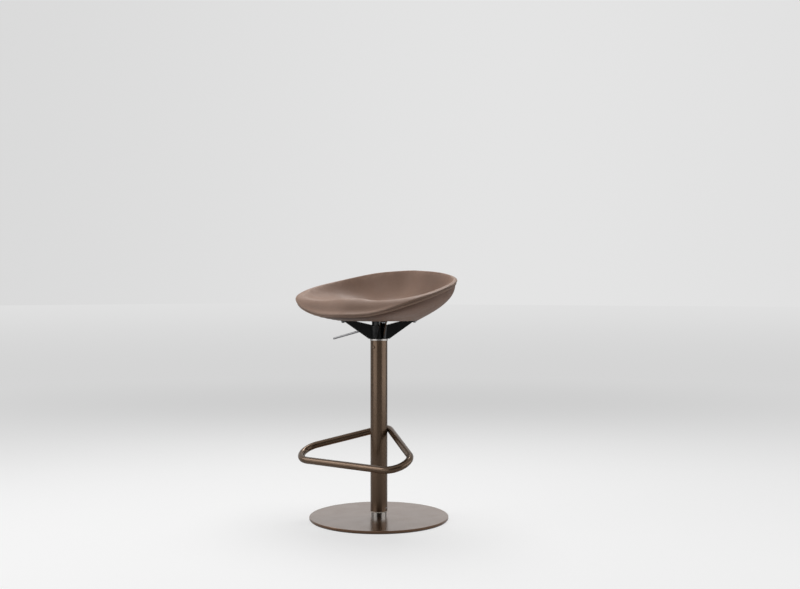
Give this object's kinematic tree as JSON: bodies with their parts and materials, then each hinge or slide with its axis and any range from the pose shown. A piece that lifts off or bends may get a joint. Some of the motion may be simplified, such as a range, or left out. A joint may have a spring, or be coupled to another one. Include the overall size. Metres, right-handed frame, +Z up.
{
  "type": "adjustable bar stool",
  "caption": "Gas-lift bar stool with a padded bucket seat, four-arm bracket and lever, sleeved column, bent tube footrest and round plate base.",
  "frame": {"origin": "on the floor under the column's axis, at the underside of the base's felt pad", "axes": "+Z up along the column, -Y the way the sitter faces, +X to the sitter's left; the release lever points to -X"},
  "size_m": [0.5564, 0.45, 0.8059],
  "materials": {
    "bronze_paint": "satin bronze-brown paint",
    "base_paint": "satin bronze-brown paint",
    "seat_leather": "soft taupe leather",
    "under_leather": "soft taupe leather",
    "shell_plastic": "moulded",
    "gloss_black": "gloss black",
    "chrome": "polished",
    "steel": "zinc plated",
    "black_steel": "black oxide",
    "nylon": "moulded nylon",
    "rubber": "moulded",
    "felt": "pressed felt"
  },
  "bodies": {
    "base": {"floor_pad": "felt", "base_disc": "base_paint", "tube_flange": "steel", "flange_screws": "black_steel", "stand_tube": "chrome", "rod_seat": "steel", "lower_race": "steel", "guide_bush": "nylon"},
    "rod": {"piston_rod": "chrome", "rod_washer": "steel", "rod_clip": "black_steel", "ball_cage": "nylon", "bearing_balls": "chrome", "upper_race": "steel", "bump_stop": "rubber", "piston": "steel", "piston_nut": "black_steel"},
    "column": {"gas_cylinder": "black_steel", "cylinder_gland": "rubber", "column_sleeve": "bronze_paint", "sleeve_glide": "nylon", "glide_screws": "chrome", "sleeve_plug": "steel", "plug_screw": "steel", "trim_ring": "chrome", "spider_bracket": "gloss_black", "lever_pin": "steel", "footrest_loop": "bronze_paint", "footrest_weld": "bronze_paint", "seat_bolts": "black_steel", "bolt_washers": "steel", "seat_plate": "black_steel", "seat_shell": "shell_plastic", "seat_pad": "seat_leather", "seat_cover": "under_leather"},
    "lever": {"release_lever": "chrome"},
    "valve": {"valve_pin": "nylon"}
  },
  "joints": [
    {"name": "seat_swivel", "type": "hinge", "parent": "base", "child": "rod", "pos_m": [0, 0, 0.026], "axis": [0, 0, 1], "continuous": true},
    {"name": "seat_lift", "type": "slide", "parent": "rod", "child": "column", "axis": [0, 0, 1], "range_m": [0, 0.2]},
    {"name": "lever_tilt", "type": "hinge", "parent": "column", "child": "lever", "pos_m": [-0.02, 0, 0.6202], "axis": [0, 1, 0], "range_deg": [0, 6], "stiffness_Nm_per_rad": 2, "springref_deg": -2.86},
    {"name": "valve_press", "type": "slide", "parent": "column", "child": "valve", "axis": [0, 0, -1], "range_m": [0, 0.0022]}
  ],
  "couplings": [
    {"joint": "valve_press", "follows": "lever_tilt", "m_per_rad": 0.02}
  ]
}
